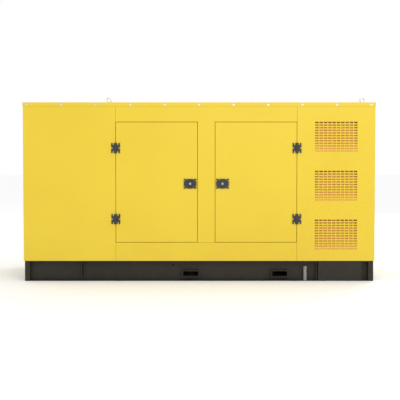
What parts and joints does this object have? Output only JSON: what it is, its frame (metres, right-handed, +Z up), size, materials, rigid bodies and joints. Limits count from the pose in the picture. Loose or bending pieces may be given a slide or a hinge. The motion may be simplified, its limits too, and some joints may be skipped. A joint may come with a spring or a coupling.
{
  "type": "canopied diesel generator set",
  "caption": "Skid-mounted diesel generator set in a yellow sound-attenuating canopy with hinged service doors, slotted air grilles, fork pockets and lifting eyes.",
  "frame": {"origin": "on the floor under the middle of the skid, on the underside of its centre strap", "axes": "+X along the set towards the control end, -Y towards the side with the earth strap, +Z up"},
  "size_m": [3.546, 1.246, 1.8429],
  "materials": {
    "frame_paint": "satin black powder coat",
    "tank_paint": "satin black paint",
    "bare_steel": "bare zinc strap",
    "seal_rubber": "matt black sponge rubber",
    "inner_paint": "yellow powder coat",
    "foam": "dark acoustic foam",
    "canopy_paint": "yellow powder coat",
    "zinc": "bright zinc plate",
    "black_casting": "black coated casting",
    "latch_metal": "plated casting",
    "window": "clear polycarbonate",
    "cabinet_paint": "light grey paint",
    "panel_plastic": "dark moulded plastic",
    "stop_red": "red plastic",
    "toggle_plastic": "black plastic",
    "engine_iron": "grey engine paint",
    "shaft_steel": "machined steel",
    "fan_plastic": "black moulded fan",
    "belt_rubber": "black belt",
    "generator_iron": "grey paint",
    "radiator_metal": "black painted core",
    "hose_rubber": "black rubber",
    "exhaust_steel": "heat-stained steel",
    "cleaner_plastic": "black moulded canister",
    "battery_plastic": "black case"
  },
  "bodies": {
    "root": {"skid_frame": "frame_paint", "fork_pockets": "frame_paint", "fuel_tank": "tank_paint", "earth_terminal": "bare_steel", "weather_seals": "seal_rubber", "inner_frames": "inner_paint", "air_baffles": "inner_paint", "canopy_lining": "foam", "end_panel_left": "canopy_paint", "end_panel_right": "canopy_paint", "roof": "canopy_paint", "roof_bolts": "zinc", "lifting_eyes": "zinc", "panel_left_front": "canopy_paint", "panel_right_front": "canopy_paint", "door_surround_front": "canopy_paint", "panel_left_rear": "canopy_paint", "panel_right_rear": "canopy_paint", "door_surround_rear": "canopy_paint", "hinge_frame_leaves": "black_casting", "control_cabinet": "cabinet_paint", "controller": "panel_plastic", "breaker": "panel_plastic", "engine_block": "engine_iron", "cylinder_head": "engine_iron", "oil_sump": "engine_iron", "fan_belt": "belt_rubber", "generator": "generator_iron", "radiator": "radiator_metal", "coolant_hoses": "hose_rubber", "exhaust_system": "exhaust_steel", "air_cleaner": "cleaner_plastic", "battery": "battery_plastic", "vibration_mounts": "hose_rubber", "engine_accessories": "engine_iron"},
    "door_left_front": {"door_left_front": "canopy_paint", "door_lining_left_front": "foam", "door_fittings_left_front": "black_casting"},
    "latch_left_front": {"latch_left_front": "latch_metal"},
    "door_right_front": {"door_right_front": "canopy_paint", "door_lining_right_front": "foam", "door_fittings_right_front": "black_casting"},
    "latch_right_front": {"latch_right_front": "latch_metal"},
    "door_left_rear": {"door_left_rear": "canopy_paint", "door_lining_left_rear": "foam", "door_fittings_left_rear": "black_casting"},
    "latch_left_rear": {"latch_left_rear": "latch_metal"},
    "door_right_rear": {"door_right_rear": "canopy_paint", "door_lining_right_rear": "foam", "door_fittings_right_rear": "black_casting"},
    "latch_right_rear": {"latch_right_rear": "latch_metal"},
    "control_door": {"control_door": "canopy_paint", "control_window": "window", "control_door_fittings": "black_casting"},
    "control_door_latch": {"control_door_latch": "latch_metal"},
    "crank_train": {"crank_train": "shaft_steel"},
    "cooling_fan": {"cooling_fan": "fan_plastic"},
    "fuel_cap": {"fuel_cap": "black_casting"},
    "emergency_stop": {"emergency_stop": "stop_red"},
    "breaker_toggle": {"breaker_toggle": "toggle_plastic"}
  },
  "joints": [
    {"name": "door_left_front_hinge", "type": "hinge", "parent": "root", "child": "door_left_front", "pos_m": [-0.834, -0.612, 0.992], "axis": [0, 0, -1], "range_deg": [0, 160]},
    {"name": "latch_left_front_turn", "type": "hinge", "parent": "door_left_front", "child": "latch_left_front", "pos_m": [-0.09, -0.6, 0.978], "axis": [0, 1, 0], "range_deg": [0, 90]},
    {"name": "door_right_front_hinge", "type": "hinge", "parent": "root", "child": "door_right_front", "pos_m": [0.978, -0.612, 0.992], "axis": [0, 0, 1], "range_deg": [0, 160]},
    {"name": "latch_right_front_turn", "type": "hinge", "parent": "door_right_front", "child": "latch_right_front", "pos_m": [0.234, -0.6, 0.978], "axis": [0, -1, 0], "range_deg": [0, 90]},
    {"name": "door_left_rear_hinge", "type": "hinge", "parent": "root", "child": "door_left_rear", "pos_m": [-0.834, 0.612, 0.992], "axis": [0, 0, 1], "range_deg": [0, 160]},
    {"name": "latch_left_rear_turn", "type": "hinge", "parent": "door_left_rear", "child": "latch_left_rear", "pos_m": [-0.09, 0.6, 0.978], "axis": [0, 1, 0], "range_deg": [0, 90]},
    {"name": "door_right_rear_hinge", "type": "hinge", "parent": "root", "child": "door_right_rear", "pos_m": [0.978, 0.612, 0.992], "axis": [0, 0, -1], "range_deg": [0, 160]},
    {"name": "latch_right_rear_turn", "type": "hinge", "parent": "door_right_rear", "child": "latch_right_rear", "pos_m": [0.234, 0.6, 0.978], "axis": [0, -1, 0], "range_deg": [0, 90]},
    {"name": "control_door_hinge", "type": "hinge", "parent": "root", "child": "control_door", "pos_m": [1.772, -0.262, 1.26], "axis": [0, 0, -1], "range_deg": [0, 150]},
    {"name": "control_door_latch_turn", "type": "hinge", "parent": "control_door", "child": "control_door_latch", "pos_m": [1.76, 0.188, 1.18], "axis": [-1, 0, 0], "range_deg": [0, 90]},
    {"name": "crank_spin", "type": "hinge", "parent": "root", "child": "crank_train", "pos_m": [0, 0, 0.59], "axis": [1, 0, 0], "continuous": true},
    {"name": "fan_spin", "type": "hinge", "parent": "root", "child": "cooling_fan", "pos_m": [-0.6, 0, 0.83], "axis": [1, 0, 0], "continuous": true},
    {"name": "fuel_cap_turn", "type": "hinge", "parent": "root", "child": "fuel_cap", "pos_m": [-0.64, -0.47, 0.3], "axis": [0, 0, 1], "range_deg": [0, 90]},
    {"name": "emergency_stop_press", "type": "slide", "parent": "root", "child": "emergency_stop", "axis": [-1, 0, 0], "range_m": [0, 0.004], "stiffness_N_per_m": 1500},
    {"name": "breaker_toggle_throw", "type": "hinge", "parent": "root", "child": "breaker_toggle", "pos_m": [1.676, -0.06, 1.11], "axis": [0, 1, 0], "range_deg": [-25, 25]}
  ],
  "couplings": [
    {"joint": "fan_spin", "follows": "crank_spin", "ratio": 1.3571}
  ]
}
